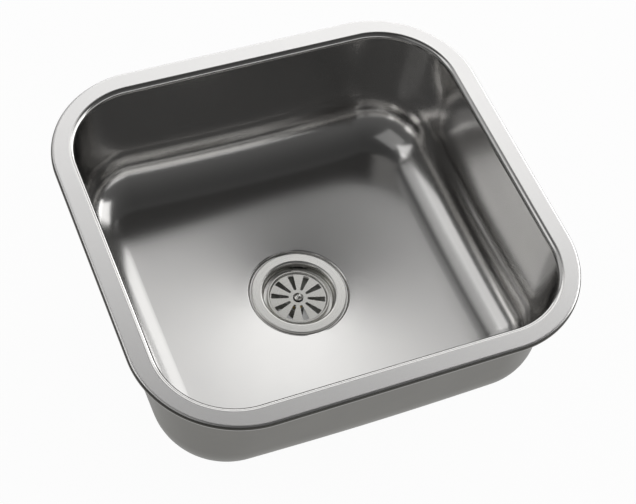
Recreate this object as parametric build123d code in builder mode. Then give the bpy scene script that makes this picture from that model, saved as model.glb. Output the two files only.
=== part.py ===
"""Undermount kitchen sink: a pressed steel bowl with its slotted waste below.

Frame: millimetres, +Z up. The origin is the centre of the rim, on the plane
of the flange's flat top face, which lies against the underside of a worktop.
+X runs along the longer side and -Y is the side the user stands at.
"""

import os
from math import radians, tan

from build123d import *

# ---- driving dimensions of the bowl --------------------------------------
RIM_WIDTH = 400.0        # outside of the flange, along X
RIM_DEPTH = 378.0        # outside of the flange, along Y
RIM_CORNER = 92.0        # plan radius of the flange's corners
FLANGE_WIDTH = 21.4      # outer edge of the flange to the bowl's wall
SHEET = 1.0              # stainless steel sheet
LIP_RADIUS = 3.0         # bend where the flange turns down at its outer edge
LIP_DROP = 3.6           # height of the turned-down lip
MOUTH_RADIUS = 5.0       # bend from the flange into the wall
BOWL_CORNER = 65.5       # plan radius of the wall's corners
WALL_DRAFT = 1.0         # degrees, lets the bowl leave the press tool
FLOOR_EDGE_Z = -127.0    # floor where it would meet the middle of the side wall
FLOOR_FALL = 4.2         # degrees, the floor's slope down to the drain
FLOOR_ROUND = 45.0       # rounding between wall and floor
RECESS_RADIUS = 49.5     # round recess in the floor that the waste sits in
RECESS_DROP = 2.6        # floor's edge at the recess down to its seat
RECESS_SLOPE = 45.0      # degrees, the recess's side
RECESS_SEAT_BEND = 2.0
RECESS_MOUTH_BEND = 3.5
DRAIN_HOLE_RADIUS = 36.0

# ---- driving dimensions of the waste -------------------------------------
RING_RADIUS = 44.6       # polished ring seen in the floor
RING_SHEET = 0.8
RING_HEIGHT = 2.0        # ring's top above the recess's seat
CUP_MOUTH_RADIUS = 33.5
CUP_FOOT_RADIUS = 32.9
LEDGE_DROP = 9.8         # ring's top down to the ledge that carries the strainer
LEDGE_RADIUS = 26.4      # hole left inside the ledge
PLATE_DROP = 8.5         # ring's top down to the strainer's face
BEAD_DROP = 7.0          # ring's top down to the top of the strainer's bead
PLATE_RADIUS = 29.6
PLATE_SHEET = 1.0
SLOT_COUNT = 10
SLOT_PHASE = 14.0        # degrees from +X to the first slot
SLOT_INNER = 8.7
SLOT_OUTER = 25.3
SLOT_INNER_WIDTH = 2.4
SLOT_OUTER_WIDTH = 6.0
LUG_WIDTH = 13.0
LUG_AZIMUTH = 68.0       # between the two slots at the far side
SCREW_RADIUS = 2.93      # M6
SCREW_LENGTH = 25.0
HEAD_RADIUS = 4.1
HEAD_HEIGHT = 2.6
BODY_FLANGE_RADIUS = 46.0
OUTLET_RADIUS = 23.9     # outside of a 1 1/2 inch pipe thread
OUTLET_BORE = 19.5
OUTLET_LENGTH = 20.0
RUN_GAP = 0.2            # air between pieces that move on each other

# ---- smaller sizes -------------------------------------------------------
PAD_WIDTH = 236.0        # sound-deadening pad
PAD_DEPTH = 214.0
PAD_CORNER = 24.0
PAD_HOLE_RADIUS = 62.0
PAD_THICKNESS = 2.0
GASKET_THICKNESS = 3.0
RING_BEND = 1.4
CUP_MOUTH_BEND = 2.6
LEDGE_BEND = 1.6
LEDGE_TURN_DOWN = 3.0
BEAD_WIDTH = 2.3
BEAD_BEND = 0.8
LUG_REACH = 3.8
LUG_DROP = 0.1
LUG_THICKNESS = 1.0
LUG_CORNER = 1.2
SLOT_INNER_ROUND = 1.1
SLOT_OUTER_ROUND = 0.9
SCREW_HOLE_RADIUS = 3.3
WASHER_RADIUS = 4.8
WASHER_HOLE_RADIUS = 3.15
WASHER_THICKNESS = 0.7
HEAD_EDGE = 0.5          # upright edge of the screw's head
SCREW_TIP = 0.8
DRIVER_SLOT_WIDTH = 1.2
DRIVER_SLOT_DEPTH = 1.3
DRIVER_SLOT_AZIMUTH = 40.0
BODY_BORE = 34.8
BODY_WALL = 2.6
BODY_FLANGE_HEIGHT = 5.0
FUNNEL_ROUND = 3.0
MOULDED_EDGE = 0.8
WEB_COUNT = 3
WEB_AZIMUTH = 20.0
WEB_THICKNESS = 2.6
WEB_HEIGHT = 12.0
WEB_DROP = 1.0
BOSS_RADIUS = 7.0
BOSS_HEIGHT = 13.0
INSERT_RADIUS = 4.6
INSERT_COLLAR = 1.2
INSERT_BORE = 3.0
RIB_COUNT = 8
RIB_AZIMUTH = 22.5
RIB_THICKNESS = 2.2

# ---- sizes worked out from them ------------------------------------------
BOWL_WIDTH = RIM_WIDTH - 2 * FLANGE_WIDTH
BOWL_DEPTH = RIM_DEPTH - 2 * FLANGE_WIDTH
FLOOR_SLOPE = tan(radians(FLOOR_FALL))
RECESS_EDGE_Z = FLOOR_EDGE_Z - FLOOR_SLOPE * (BOWL_WIDTH / 2 - RECESS_RADIUS)
SEAT_Z = RECESS_EDGE_Z - RECESS_DROP
RING_TOP = SEAT_Z + RING_HEIGHT
FLOOR_UNDERSIDE = SEAT_Z - SHEET
LEDGE_Z = RING_TOP - LEDGE_DROP
PLATE_Z = RING_TOP - PLATE_DROP
BEAD_Z = RING_TOP - BEAD_DROP
HEAD_Z = PLATE_Z + WASHER_THICKNESS + 2 * RUN_GAP
BODY_TOP_Z = FLOOR_UNDERSIDE - GASKET_THICKNESS
FUNNEL_TOP_Z = RING_TOP - 15.0
FUNNEL_FOOT_Z = RING_TOP - 29.0
OUTLET_END_Z = FUNNEL_FOOT_Z - BODY_WALL / 2 - OUTLET_LENGTH
BOSS_TOP_Z = RING_TOP - 22.0

os.makedirs("parts", exist_ok=True)


def save(name, piece):
    """Label one finished piece and write it as its own STEP file."""
    piece.part.label = name
    export_step(piece.part, f"parts/{name}.step")


def bowl_form(grow):
    """The hollow of the bowl as a solid, made larger all round by grow."""
    block_height = -SEAT_Z + 20
    floor_reach = BOWL_WIDTH
    bend_shift = grow * tan(radians(RECESS_SLOPE / 2))
    seat_corner = (RECESS_RADIUS - RECESS_DROP + bend_shift, SEAT_Z - grow)
    mouth_corner = (RECESS_RADIUS + bend_shift, RECESS_EDGE_Z - grow)
    far_z = mouth_corner[1] + FLOOR_SLOPE * (floor_reach - RECESS_RADIUS)
    with BuildPart() as form:
        with BuildSketch():
            RectangleRounded(BOWL_WIDTH + 2 * grow, BOWL_DEPTH + 2 * grow, BOWL_CORNER + grow)
        extrude(amount=-block_height, taper=WALL_DRAFT)
        with BuildSketch(Plane.XZ) as below_floor:
            with BuildLine():
                Polyline(
                    (0, SEAT_Z - grow),
                    seat_corner,
                    mouth_corner,
                    (floor_reach, far_z),
                    (floor_reach, -block_height - 10),
                    (0, -block_height - 10),
                    close=True,
                )
            make_face()
            fillet(below_floor.vertices().sort_by_distance(seat_corner)[0], RECESS_SEAT_BEND + grow)
            fillet(below_floor.vertices().sort_by_distance(mouth_corner)[0], RECESS_MOUTH_BEND - grow)
        revolve(axis=Axis.Z, mode=Mode.SUBTRACT)
        floor_face = form.faces().filter_by(GeomType.CONE).sort_by(SortBy.AREA)[-1]
        fillet(floor_face.outer_wire().edges(), FLOOR_ROUND + grow)
    return form.part


# ---- sink_bowl: one pressing ----------------------------------------------
with BuildPart() as sink_bowl:
    with BuildSketch():
        RectangleRounded(RIM_WIDTH, RIM_DEPTH, RIM_CORNER)
    extrude(amount=-LIP_DROP)
    fillet(sink_bowl.faces().sort_by(Axis.Z)[-1].edges(), LIP_RADIUS)
    with BuildSketch(Plane.XY.offset(-LIP_DROP)):
        RectangleRounded(RIM_WIDTH - 2 * SHEET, RIM_DEPTH - 2 * SHEET, RIM_CORNER - SHEET)
    extrude(amount=LIP_DROP - SHEET, mode=Mode.SUBTRACT)
    ceiling = sink_bowl.faces().filter_by(Plane.XY).sort_by(Axis.Z)[-2]
    fillet(ceiling.edges(), LIP_RADIUS - SHEET)
    add(bowl_form(SHEET))
    underside = (
        sink_bowl.faces()
        .filter_by(Plane.XY)
        .filter_by(lambda f: abs(f.center().Z + SHEET) < 0.01)
        .sort_by(SortBy.AREA)[-1]
    )
    fillet(underside.inner_wires()[0].edges(), MOUTH_RADIUS - SHEET)
    add(bowl_form(0), mode=Mode.SUBTRACT)
    top_face = sink_bowl.faces().filter_by(Plane.XY).sort_by(Axis.Z)[-1]
    fillet(top_face.inner_wires()[0].edges(), MOUTH_RADIUS)
    with BuildSketch(Plane.XY.offset(FLOOR_UNDERSIDE - 1)):
        Circle(DRAIN_HOLE_RADIUS)
    extrude(amount=SHEET + 2, mode=Mode.SUBTRACT)
save("sink_bowl", sink_bowl)


# ---- sound_pad: bonded under the floor, follows its slope ------------------
with BuildPart() as sound_pad:
    with BuildSketch(Plane.XY.offset(FLOOR_UNDERSIDE - PAD_THICKNESS - 2)):
        RectangleRounded(PAD_WIDTH, PAD_DEPTH, PAD_CORNER)
        Circle(PAD_HOLE_RADIUS, mode=Mode.SUBTRACT)
    extrude(amount=20)
    add(bowl_form(SHEET + PAD_THICKNESS), mode=Mode.INTERSECT)
    add(bowl_form(SHEET), mode=Mode.SUBTRACT)
save("sound_pad", sound_pad)


# ---- waste_flange: polished ring, cup and ledge, one pressing ---------------
with BuildPart() as waste_flange:
    with BuildSketch(Plane.XZ):
        with BuildLine():
            FilletPolyline(
                (RING_RADIUS, RING_TOP - RING_HEIGHT + 0.1),
                (RING_RADIUS, RING_TOP),
                (CUP_MOUTH_RADIUS, RING_TOP),
                (CUP_FOOT_RADIUS, LEDGE_Z),
                (LEDGE_RADIUS, LEDGE_Z),
                (LEDGE_RADIUS, LEDGE_Z - LEDGE_TURN_DOWN),
                radius=[RING_BEND, CUP_MOUTH_BEND, LEDGE_BEND, RING_BEND],
            )
            offset(amount=RING_SHEET, side=Side.LEFT)
        make_face()
    revolve(axis=Axis.Z)
save("waste_flange", waste_flange)


def flat_ring(outer_radius, inner_radius, low_z, high_z, edge=0.0):
    """A plain flat ring, such as a gasket or washer, with softened rims."""
    with BuildPart() as ring:
        with BuildSketch(Plane.XY.offset(low_z)):
            Circle(outer_radius)
            Circle(inner_radius, mode=Mode.SUBTRACT)
        extrude(amount=high_z - low_z)
        if edge > 0:
            fillet(ring.edges().filter_by(GeomType.CIRCLE), edge)
    return ring


# ---- gaskets above and below the steel floor --------------------------------
flange_gasket = flat_ring(
    RING_RADIUS - RING_SHEET - 0.6,
    DRAIN_HOLE_RADIUS + 0.5,
    SEAT_Z,
    RING_TOP - RING_SHEET,
)
save("flange_gasket", flange_gasket)

body_gasket = flat_ring(
    BODY_FLANGE_RADIUS,
    DRAIN_HOLE_RADIUS + 0.5,
    FLOOR_UNDERSIDE - GASKET_THICKNESS,
    FLOOR_UNDERSIDE,
)
save("body_gasket", body_gasket)


# ---- strainer_plate: slotted disc with its raised bead and locating lug -----
with BuildSketch() as slot:
    with BuildLine():
        Polyline(
            (SLOT_INNER, -SLOT_INNER_WIDTH / 2),
            (SLOT_OUTER, -SLOT_OUTER_WIDTH / 2),
            (SLOT_OUTER, SLOT_OUTER_WIDTH / 2),
            (SLOT_INNER, SLOT_INNER_WIDTH / 2),
            close=True,
        )
    make_face()
    fillet(slot.vertices().group_by(Axis.X)[0], SLOT_INNER_ROUND)
    fillet(slot.vertices().group_by(Axis.X)[-1], SLOT_OUTER_ROUND)

with BuildPart() as strainer_plate:
    with BuildSketch(Plane.XZ) as plate_outline:
        with BuildLine():
            Polyline(
                (0, PLATE_Z),
                (PLATE_RADIUS - BEAD_WIDTH - 0.9, PLATE_Z),
                (PLATE_RADIUS - BEAD_WIDTH, BEAD_Z),
                (PLATE_RADIUS - 0.4, BEAD_Z),
                (PLATE_RADIUS, PLATE_Z - PLATE_SHEET),
                (0, PLATE_Z - PLATE_SHEET),
                close=True,
            )
        make_face()
        fillet(plate_outline.vertices().group_by(Axis.Y)[-1], BEAD_BEND)
    revolve(axis=Axis.Z)
    with BuildSketch(Plane.XY.offset(BEAD_Z - LUG_DROP)):
        with PolarLocations(PLATE_RADIUS + LUG_REACH / 2 - 1.5, 1, start_angle=LUG_AZIMUTH):
            RectangleRounded(LUG_REACH, LUG_WIDTH, LUG_CORNER)
    extrude(amount=-LUG_THICKNESS)
    with BuildSketch(Plane.XY.offset(PLATE_Z)):
        with PolarLocations(0, SLOT_COUNT, start_angle=SLOT_PHASE):
            add(slot.sketch)
        Circle(SCREW_HOLE_RADIUS)
    extrude(amount=-PLATE_SHEET, mode=Mode.SUBTRACT)
save("strainer_plate", strainer_plate)


# ---- screw_washer and strainer_screw ----------------------------------------
screw_washer = flat_ring(
    WASHER_RADIUS,
    WASHER_HOLE_RADIUS,
    PLATE_Z + RUN_GAP,
    PLATE_Z + RUN_GAP + WASHER_THICKNESS,
    edge=0.15,
)
save("screw_washer", screw_washer)

with BuildPart() as strainer_screw:
    with BuildSketch(Plane.XZ):
        with BuildLine():
            rim_top = (HEAD_RADIUS, HEAD_Z + HEAD_EDGE)
            crown = (0, HEAD_Z + HEAD_HEIGHT)
            Polyline(
                crown,
                (0, HEAD_Z - SCREW_LENGTH),
                (SCREW_RADIUS - SCREW_TIP, HEAD_Z - SCREW_LENGTH),
                (SCREW_RADIUS, HEAD_Z - SCREW_LENGTH + SCREW_TIP),
                (SCREW_RADIUS, HEAD_Z),
                (HEAD_RADIUS, HEAD_Z),
                rim_top,
            )
            TangentArc(crown, rim_top, tangent=(1, 0))
        make_face()
    revolve(axis=Axis.Z)
    with BuildSketch(Plane.XY.offset(HEAD_Z + HEAD_HEIGHT)):
        Rectangle(2 * HEAD_RADIUS + 1, DRIVER_SLOT_WIDTH, rotation=DRIVER_SLOT_AZIMUTH)
    extrude(amount=-DRIVER_SLOT_DEPTH, mode=Mode.SUBTRACT)
save("strainer_screw", strainer_screw)


# ---- waste_body: moulded funnel with the screw's boss, webs and outlet ------
with BuildPart() as waste_body:
    with BuildSketch(Plane.XZ) as body_outline:
        with BuildLine():
            Polyline(
                (BODY_BORE, BODY_TOP_Z),
                (BODY_FLANGE_RADIUS, BODY_TOP_Z),
                (BODY_FLANGE_RADIUS, BODY_TOP_Z - BODY_FLANGE_HEIGHT),
                (BODY_BORE + BODY_WALL, BODY_TOP_Z - BODY_FLANGE_HEIGHT),
                (BODY_BORE + BODY_WALL, FUNNEL_TOP_Z),
                (OUTLET_RADIUS, FUNNEL_FOOT_Z - BODY_WALL / 2),
                (OUTLET_RADIUS, OUTLET_END_Z),
                (OUTLET_BORE, OUTLET_END_Z),
                (OUTLET_BORE, FUNNEL_FOOT_Z),
                (BODY_BORE, FUNNEL_TOP_Z),
                close=True,
            )
        make_face()
        for corner in ((OUTLET_BORE, FUNNEL_FOOT_Z), (BODY_BORE, FUNNEL_TOP_Z)):
            fillet(body_outline.vertices().sort_by_distance(corner)[0], FUNNEL_ROUND)
        for corner in (
            (BODY_FLANGE_RADIUS, BODY_TOP_Z),
            (BODY_FLANGE_RADIUS, BODY_TOP_Z - BODY_FLANGE_HEIGHT),
        ):
            fillet(body_outline.vertices().sort_by_distance(corner)[0], MOULDED_EDGE)
    revolve(axis=Axis.Z)
    # webs from the funnel to the boss that holds the screw
    with BuildSketch(Plane.XY.offset(BOSS_TOP_Z - WEB_DROP)):
        with PolarLocations(OUTLET_BORE / 2 + 1, WEB_COUNT, start_angle=WEB_AZIMUTH):
            Rectangle(OUTLET_BORE + 4, WEB_THICKNESS)
    extrude(amount=-WEB_HEIGHT)
    with BuildSketch(Plane.XY.offset(BOSS_TOP_Z)):
        Circle(BOSS_RADIUS)
    extrude(amount=-BOSS_HEIGHT)
    with BuildSketch(Plane.XY.offset(BOSS_TOP_Z)):
        Circle(INSERT_RADIUS)
    extrude(amount=-BOSS_HEIGHT, mode=Mode.SUBTRACT)
    # ribs outside, between the flange and the funnel
    with BuildSketch(Plane.XZ) as rib_outline:
        with BuildLine():
            Polyline(
                (BODY_BORE + 1, BODY_TOP_Z - BODY_FLANGE_HEIGHT + 1),
                (BODY_FLANGE_RADIUS - 1, BODY_TOP_Z - BODY_FLANGE_HEIGHT + 1),
                (BODY_FLANGE_RADIUS - 1, BODY_TOP_Z - BODY_FLANGE_HEIGHT - 1.5),
                (OUTLET_RADIUS + 2, FUNNEL_FOOT_Z),
                (OUTLET_RADIUS, FUNNEL_FOOT_Z),
                close=True,
            )
        make_face()
    rib = extrude(amount=RIB_THICKNESS / 2, both=True, mode=Mode.PRIVATE)
    with PolarLocations(0, RIB_COUNT, start_angle=RIB_AZIMUTH):
        add(rib)
save("waste_body", waste_body)


# ---- screw_insert: brass thread, drawn up into the boss from below ----------
with BuildPart() as screw_insert:
    with BuildSketch(Plane.XY.offset(BOSS_TOP_Z)):
        Circle(INSERT_RADIUS)
    extrude(amount=-BOSS_HEIGHT)
    with BuildSketch(Plane.XY.offset(BOSS_TOP_Z - BOSS_HEIGHT)):
        Circle(INSERT_RADIUS + 1)
    extrude(amount=-INSERT_COLLAR)
    with BuildSketch(Plane.XY.offset(BOSS_TOP_Z)):
        Circle(INSERT_BORE)
    extrude(amount=-BOSS_HEIGHT - INSERT_COLLAR, mode=Mode.SUBTRACT)
save("screw_insert", screw_insert)
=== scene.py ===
"""Undermount kitchen sink: the pressed satin bowl, its strainer waste and the pieces below the floor.

Sizes are written in millimetres and turned to metres where they are used. Only the
distances of the lamps are in metres.
"""

from math import ceil, cos, pi, radians, sin, tan

import bmesh
import bpy
from mathutils import Matrix, Vector


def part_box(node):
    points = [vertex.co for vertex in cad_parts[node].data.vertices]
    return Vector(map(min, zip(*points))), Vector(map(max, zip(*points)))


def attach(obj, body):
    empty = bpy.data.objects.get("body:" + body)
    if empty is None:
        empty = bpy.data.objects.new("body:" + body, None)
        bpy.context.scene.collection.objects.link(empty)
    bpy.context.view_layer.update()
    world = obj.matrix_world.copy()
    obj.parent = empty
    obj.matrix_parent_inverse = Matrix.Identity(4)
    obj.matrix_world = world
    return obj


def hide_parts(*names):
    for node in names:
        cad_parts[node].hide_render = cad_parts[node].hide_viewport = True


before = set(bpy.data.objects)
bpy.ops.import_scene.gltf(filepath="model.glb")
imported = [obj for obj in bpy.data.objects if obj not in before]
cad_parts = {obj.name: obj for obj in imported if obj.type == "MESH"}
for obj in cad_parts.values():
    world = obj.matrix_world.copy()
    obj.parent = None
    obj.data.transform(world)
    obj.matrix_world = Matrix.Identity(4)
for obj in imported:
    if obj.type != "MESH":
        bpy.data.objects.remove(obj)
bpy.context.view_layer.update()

MM = 0.001
FULL_TURN = 2 * pi


def node_box(node):
    """Lowest and highest corner of one node at rest, in millimetres."""
    low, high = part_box(node)
    return low / MM, high / MM


# ---- sizes read from the frame -----------------------------------------------
bowl_high = node_box("sink_bowl")[1]
ring_high = node_box("waste_flange")[1]
plate_low, plate_high = node_box("strainer_plate")
washer_low, washer_high = node_box("screw_washer")
screw_low, screw_high = node_box("strainer_screw")
body_low, body_high = node_box("waste_body")
insert_high = node_box("screw_insert")[1]

# ---- sizes of the bowl -------------------------------------------------------
RIM_CORNER = 92.0
FLANGE_WIDTH = 21.4
SHEET = 1.0
EDGE_MARGIN = SHEET / 10                     # within which a point counts as on an edge
LIP_RADIUS = 3.0
LIP_DROP = 3.6
MOUTH_RADIUS = 5.0
BOWL_CORNER = 65.5
WALL_DRAFT = radians(1.0)
FLOOR_EDGE_Z = -127.0
FLOOR_FALL = radians(4.2)
FLOOR_ROUND = 45.0
RECESS_RADIUS = 47.2
RECESS_DEPTH = 2.0                           # of the seat below the ring's top face
RECESS_SLOPE = radians(62)
RECESS_SEAT_BEND = 0.5
RECESS_MOUTH_BEND = 1.6
DRAIN_HOLE_RADIUS = 36.0
BOWL_STEPS_AROUND = 440

RIM_HALF = bowl_high.x
SIDE_DIFFERENCE = bowl_high.x - bowl_high.y
WALL_HALF = RIM_HALF - FLANGE_WIDTH
CORNER_REACH = WALL_HALF - BOWL_CORNER       # centre of the bowl's corners, along X
RIM_REACH = RIM_HALF - RIM_CORNER            # centre of the rim's corners, along X
FLOOR_SLOPE = tan(FLOOR_FALL)
RECESS_EDGE_Z = FLOOR_EDGE_Z - FLOOR_SLOPE * (WALL_HALF - RECESS_RADIUS)
SEAT_Z = ring_high.z - RECESS_DEPTH
RECESS_RUN = (RECESS_EDGE_Z - SEAT_Z) / tan(RECESS_SLOPE)
LIFT_TOP_Z = -4 * MOUTH_RADIUS               # above it the corners' walls aren't lifted to the cone

# ---- sizes of the waste ------------------------------------------------------
RING_RADIUS = ring_high.x
RING_TOP = ring_high.z
RING_SHEET = 0.8
RING_HEIGHT = 2.0
RING_BEND = 1.4
SKIRT_GAP = 0.1                              # between the ring's skirt and its seat
CUP_MOUTH_RADIUS = 33.5
CUP_MOUTH_BEND = 2.6
CUP_FOOT_RADIUS = 32.9
LEDGE_Z = RING_TOP - 9.8
LEDGE_RADIUS = 26.4
LEDGE_BEND = 1.6
LEDGE_TURN_DOWN = 3.0
PLATE_RADIUS = 29.6
PLATE_SHEET = 1.0
PLATE_Z = plate_low.z + PLATE_SHEET
BEAD_Z = plate_high.z
BEAD_WIDTH = 2.3
BEAD_BEND = 0.8
BEAD_INNER_RUN = 0.9
BEAD_INNER_FOOT_BEND = 0.5
BEAD_OUTER_RUN = 0.4
PLATE_FOOT_BEND = 0.2
PLATE_EDGE = 0.1
LUG_WIDTH = 13.0
LUG_REACH = 3.8
LUG_AZIMUTH = radians(68)
LUG_DROP = 0.1
LUG_THICKNESS = 1.0
LUG_CORNER = 1.2
LUG_OVERLAP = 1.5                            # with the bead
SLOT_COUNT = 10
SLOT_PHASE = radians(14)
SLOT_INNER = 8.7
SLOT_OUTER = 25.3
SLOT_INNER_WIDTH = 2.4
SLOT_OUTER_WIDTH = 6.0
SLOT_INNER_ROUND = 1.1
SLOT_OUTER_ROUND = 0.9
SCREW_HOLE_RADIUS = 3.3
WASHER_RADIUS = washer_high.x
WASHER_HOLE_RADIUS = 3.15
WASHER_EDGE = 0.15
HEAD_RADIUS = screw_high.x
HEAD_HEIGHT = 2.6
HEAD_EDGE = 0.5
HEAD_Z = screw_high.z - HEAD_HEIGHT
DOME_STEPS = 10
SCREW_RADIUS = 2.93
SCREW_PITCH = 1.0
SCREW_THREAD_DEPTH = 0.55
SCREW_THREAD_STEPS = 240
SCREW_TIP = 0.8
PLAIN_SHANK = 2.0                            # between the head and the thread
THREAD_MARGIN = 0.05                         # left plain at both ends of a thread
DRIVER_SLOT_WIDTH = 1.2
DRIVER_SLOT_DEPTH = 1.3
DRIVER_SLOT_AZIMUTH = radians(40)

# ---- sizes of the gaskets, pad and waste body --------------------------------
GASKET_EDGE = 0.25
GASKET_GAP = 0.5                             # between a gasket and the edge of the drain hole
PAD_HALF_WIDTH = 118.0
PAD_HALF_DEPTH = 107.0
PAD_CORNER = 24.0
PAD_HOLE_RADIUS = 62.0
PAD_THICKNESS = 2.0
BODY_FLANGE_RADIUS = body_high.x
BODY_TOP_Z = body_high.z
BODY_END_Z = body_low.z
BODY_FLANGE_HEIGHT = 5.0
BODY_BORE = 34.8
BODY_WALL = 2.6
BODY_EDGE = 0.8
BODY_INNER_EDGE = 0.3
FUNNEL_TOP_Z = RING_TOP - 15.0
FUNNEL_FOOT_Z = RING_TOP - 29.0
FUNNEL_ROUND = 3.0
OUTLET_RADIUS = 23.9
OUTLET_BORE = 19.5
OUTLET_PITCH = 2.2                           # 11 threads to the inch
OUTLET_THREAD_DEPTH = 1.1
OUTLET_THREAD_STEPS = 110
OUTLET_PLAIN_TOP = 2.5
OUTLET_PLAIN_END = 1.0
BOSS_RADIUS = 7.0
BOSS_HEIGHT = 13.0
BOSS_EDGE = 0.6
BOSS_TOP_Z = insert_high.z
INSERT_RADIUS = 4.6
INSERT_COLLAR = 1.2
INSERT_COLLAR_WIDTH = 1.0
INSERT_BORE = 3.0
WEB_COUNT = 3
WEB_AZIMUTH = radians(20)
WEB_THICKNESS = 2.6
WEB_HEIGHT = 12.0
WEB_DROP = 1.0
RIB_COUNT = 8
RIB_AZIMUTH = radians(22.5)
RIB_THICKNESS = 2.2
RIB_STEP = 2.0                               # straight part of a rib's outer edge
JOINT_DEPTH = 0.5                            # how far webs and ribs reach into the walls they meet

# ---- finishes of the pressed sheet -------------------------------------------
# the lip's skin value gives its bend a dark tone that is painted shade; the outside's gives a duller
# finish whose darker tone is painted shade
BRUSHED, POLISHED, MILL_SKIN_AND_SHADE, LIP_PAINTED_SHADE = -1.0, 0.0, 1.0, 2.0    # values of its "skin"
SATIN_GRAIN = 0.6                            # cells of the polishing grain
SATIN_ROUGHNESS = (0.155, 0.175)
MILL_ROUGHER_BY = 0.28
BRUSHED_ROUGHER_BY = 0.17
SATIN_BUMP = (0.025, 0.02)                   # strength, height

# ---- camera, studio floor and surroundings -----------------------------------
CAMERA_SPOT = Vector((-412.294, -716.029, 1079.660)) * MM
CAMERA_YAW = -0.535
CAMERA_PITCH = 0.947
CAMERA_ROLL = 0.184
CAMERA_LENS = 89.731
CAMERA_SENSOR = 36.0
STUDIO_HALF = 20000.0
STUDIO_GAP = 0.2                             # between the outlet's end and the studio floor
FLOOR_WHITE = 0.96
SHADOW_REACH = 40.0                          # closeness at which the floor loses its white
LAMP_AIM = Vector((0.0, 0.0, -50.0)) * MM
WORLD_STOPS = [(0.0, 0.35), (0.2, 0.16), (0.6, 0.12), (1.0, 0.06)]


# ---- outlines ----------------------------------------------------------------
def bent_outline(corners, longest_run=6.0, bend_step=radians(6), support=0.5):
    """Points of a closed outline whose corners are (x, z, bend radius), with an arc at each bend.

    A straight run gets a point at the support's length from each end, and steps between
    them that are no longer than the longest run.
    """
    stretches = []
    for index, (x, z, bend) in enumerate(corners):
        here = Vector((x, z))
        back = (Vector(corners[index - 1][:2]) - here).normalized()
        ahead = (Vector(corners[(index + 1) % len(corners)][:2]) - here).normalized()
        if bend == 0:
            stretches.append([here])
            continue
        half_angle = back.angle(ahead) / 2
        centre = here + (back + ahead).normalized() * bend / sin(half_angle)
        arm = here + back * bend / tan(half_angle) - centre
        turn = pi - 2 * half_angle
        if back.cross(ahead) > 0:
            turn = -turn
        steps = max(2, ceil(abs(turn) / bend_step))
        stretches.append(
            [centre + Matrix.Rotation(turn * step / steps, 2) @ arm for step in range(steps + 1)]
        )
    points = []
    for index, stretch in enumerate(stretches):
        points.extend(stretch)
        start = stretch[-1]
        run = stretches[(index + 1) % len(stretches)][0] - start
        length = run.length
        if length < 4 * support:
            continue
        middle = length - 2 * support
        steps = ceil(middle / longest_run)
        for step in range(steps + 1):
            points.append(start + run * (support + middle * step / steps) / length)
    return points


# ---- node trees --------------------------------------------------------------
def add_node(tree, kind, inputs=(), **settings):
    """Add one node, set its properties, and link or set its inputs, given as (socket, value) pairs."""
    node = tree.nodes.new(kind)
    for name, value in settings.items():
        setattr(node, name, value)
    for socket, value in inputs:
        if isinstance(value, bpy.types.NodeSocket):
            tree.links.new(value, node.inputs[socket])
        else:
            node.inputs[socket].default_value = value
    return node


def made(tree, kind, inputs=(), **settings):
    """The first output of a new node."""
    return add_node(tree, kind, inputs, **settings).outputs[0]


def new_tree(name, **sizes):
    """A geometry tree with a geometry input and output, a material and named sizes."""
    tree = bpy.data.node_groups.new(name, "GeometryNodeTree")
    tree.interface.new_socket("Geometry", in_out="INPUT", socket_type="NodeSocketGeometry")
    for size, kind in sizes.items():
        label = size.replace("_", " ").title()
        tree.interface.new_socket(label, in_out="INPUT", socket_type=f"NodeSocket{kind}")
    tree.interface.new_socket("Finish", in_out="INPUT", socket_type="NodeSocketMaterial")
    tree.interface.new_socket("Geometry", in_out="OUTPUT", socket_type="NodeSocketGeometry")
    return tree, tree.nodes.new("NodeGroupInput").outputs


def end_tree(tree, geometry, finish):
    """Realize the instances, set the finish and join the result to the tree's output."""
    real = made(tree, "GeometryNodeRealizeInstances", [(0, geometry)])
    dressed = made(tree, "GeometryNodeSetMaterial", [("Geometry", real), ("Material", finish)])
    add_node(tree, "NodeGroupOutput", [(0, dressed)])
    return tree


def captured(tree, geometry, items):
    """Store values on a geometry's points: items are (name, kind, value). Gives the outputs."""
    node = tree.nodes.new("GeometryNodeCaptureAttribute")
    tree.links.new(geometry, node.inputs[0])
    for name, kind, value in items:
        node.capture_items.new(kind, name)
        tree.links.new(value, node.inputs[name])
    return node.outputs


def math(tree, operation, *values):
    """One Math node's result."""
    return made(tree, "ShaderNodeMath", list(enumerate(values)), operation=operation)


def vector_math(tree, operation, *values):
    """One Vector Math node, whose result is a vector or, for LENGTH, a value."""
    node = add_node(tree, "ShaderNodeVectorMath", list(enumerate(values)), operation=operation)
    return node.outputs["Value" if operation == "LENGTH" else "Vector"]


def xyz(tree, x, y, z):
    """A vector from three values."""
    return made(tree, "ShaderNodeCombineXYZ", [(0, x), (1, y), (2, z)])


def split(tree, vector):
    """The three values of a vector."""
    return add_node(tree, "ShaderNodeSeparateXYZ", [(0, vector)]).outputs


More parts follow.
